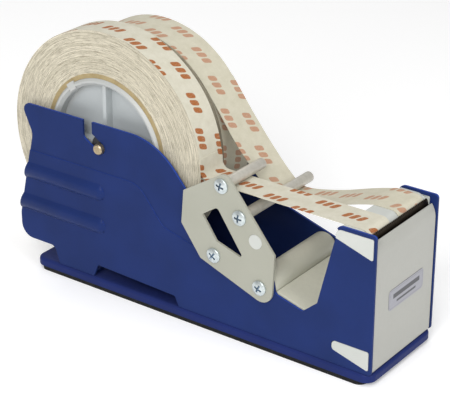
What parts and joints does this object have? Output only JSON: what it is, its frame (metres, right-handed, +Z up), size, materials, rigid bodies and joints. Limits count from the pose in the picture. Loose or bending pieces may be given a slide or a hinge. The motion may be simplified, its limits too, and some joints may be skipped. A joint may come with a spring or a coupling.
{
  "type": "tape dispenser",
  "caption": "Weighted steel bench dispenser that carries two rolls of tape side by side on one lift-out axle and cuts both on a toothed blade at the nose.",
  "frame": {"origin": "middle of the object's length and width, on the table under the rubber pad", "axes": "+X from the rolls to the cutting nose, +Y across to the far side panel, +Z up"},
  "size_m": [0.239, 0.0678, 0.151],
  "materials": {
    "blue_paint": "smooth satin enamel on pressed steel",
    "grey_paint": "satin light grey enamel",
    "cover_paint": "fine matt light grey enamel",
    "pad_rubber": "matt black",
    "ballast_iron": "rough cast",
    "zinc_steel": "zinc plated",
    "white_plastic": "off-white moulded",
    "label_metal": "blank satin plate",
    "blade_steel": "blackened, toothed",
    "rod_metal": "satin drawn rod",
    "axle_metal": "dull turned bar",
    "black_plastic": "matt",
    "hub_plastic": "light grey moulded",
    "core_card": "wound board",
    "tape_paper": "creped paper tape with a printed pattern"
  },
  "bodies": {
    "root": {"base_pad": "pad_rubber", "base_plate": "blue_paint", "ballast_plate": "ballast_iron", "ballast_block": "ballast_iron", "near_side_panel": "blue_paint", "far_side_panel": "blue_paint", "panel_rivets": "zinc_steel", "nose_insert": "white_plastic", "front_cover": "cover_paint", "cover_rivets": "zinc_steel", "label_plate": "label_metal", "cutter_blade": "blade_steel", "blade_screws": "zinc_steel", "cross_tube": "grey_paint", "cross_tube_screw": "zinc_steel", "guard_plate": "grey_paint", "ballast_screws": "zinc_steel", "rod_bracket": "grey_paint", "bracket_screws": "zinc_steel", "bracket_nut": "zinc_steel", "bracket_plug": "white_plastic", "short_guide_rod": "rod_metal", "long_guide_rod": "rod_metal", "rod_screws": "zinc_steel", "axle": "axle_metal", "axle_collars": "black_plastic", "hub_spacer": "zinc_steel", "near_tape": "tape_paper", "far_tape": "tape_paper"},
    "near_reel": {"near_hub": "hub_plastic", "near_core": "core_card", "near_roll": "tape_paper"},
    "far_reel": {"far_hub": "hub_plastic", "far_core": "core_card", "far_roll": "tape_paper"}
  },
  "joints": [
    {"name": "near_reel_spin", "type": "hinge", "parent": "root", "child": "near_reel", "pos_m": [-0.055, 0, 0.0865], "axis": [0, 1, 0], "continuous": true},
    {"name": "far_reel_spin", "type": "hinge", "parent": "root", "child": "far_reel", "pos_m": [-0.055, 0, 0.0865], "axis": [0, 1, 0], "continuous": true}
  ]
}
